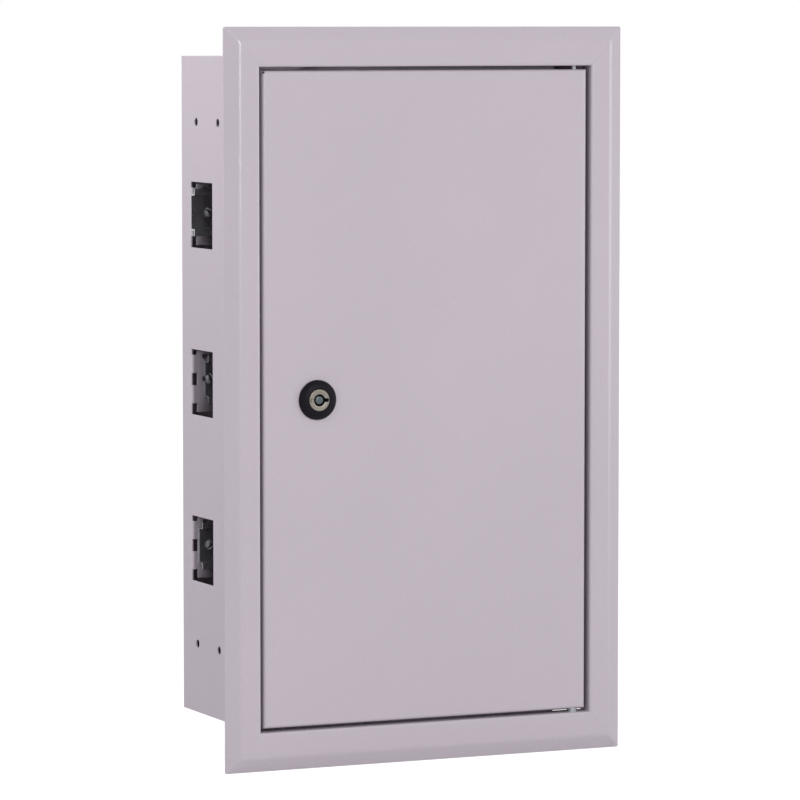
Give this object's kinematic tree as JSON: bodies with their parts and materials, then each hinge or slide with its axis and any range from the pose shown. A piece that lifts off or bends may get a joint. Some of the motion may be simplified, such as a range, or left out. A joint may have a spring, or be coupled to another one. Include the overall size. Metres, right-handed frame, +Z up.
{
  "type": "wall enclosure",
  "caption": "Flush-mounted sheet-steel distribution enclosure with mitred trim frame, hinged lockable door, inner cover and mounting rails.",
  "frame": {"origin": "centre of the four wall fixing holes, on the outer face of the back wall", "axes": "+X to the right seen from the front, +Y back into the wall, +Z up"},
  "size_m": [0.32, 0.1506, 0.542],
  "materials": {
    "grey_paint": "light grey textured powder coat, satin",
    "zinc_steel": "zinc-plated steel",
    "rail_steel": "galvanised steel strip",
    "black_housing": "smooth black",
    "nickel_plug": "nickel-plated, slightly dull",
    "brass_bar": "plain brass",
    "insulator": "dark grey polyamide"
  },
  "bodies": {
    "box": {"box_shell": "grey_paint", "top_plate": "grey_paint", "bottom_plate": "grey_paint", "trim_frame": "grey_paint", "trim_brackets": "zinc_steel", "trim_screws": "zinc_steel", "upper_hinge_pin": "zinc_steel", "lower_hinge_pin": "zinc_steel", "top_din_rail": "rail_steel", "middle_din_rail": "rail_steel", "bottom_din_rail": "rail_steel", "rail_screws": "zinc_steel", "rail_nuts": "zinc_steel", "inner_cover": "grey_paint", "cover_brackets": "grey_paint", "cover_screws": "zinc_steel", "neutral_bar": "brass_bar", "neutral_bar_screws": "zinc_steel", "neutral_bar_feet": "insulator", "earth_bar": "brass_bar", "earth_bar_screws": "zinc_steel", "earth_bar_feet": "insulator", "bar_foot_screws": "zinc_steel", "box_earth_stud": "zinc_steel", "box_stud_nut": "zinc_steel"},
    "door": {"door_panel": "grey_paint", "lock_housing": "black_housing", "lock_nut": "zinc_steel", "door_earth_stud": "zinc_steel", "door_stud_nut": "zinc_steel"},
    "plug": {"lock_plug": "nickel_plug", "lock_cam": "zinc_steel", "cam_screw": "zinc_steel"}
  },
  "joints": [
    {"name": "door_hinge", "type": "hinge", "parent": "box", "child": "door", "pos_m": [0.1225, -0.1396, 0], "axis": [0, 0, 1], "range_deg": [0, 110]},
    {"name": "lock_turn", "type": "hinge", "parent": "door", "child": "plug", "pos_m": [-0.0879, -0.1456, -0.0036], "axis": [0, 1, 0], "range_deg": [0, 90]}
  ]
}
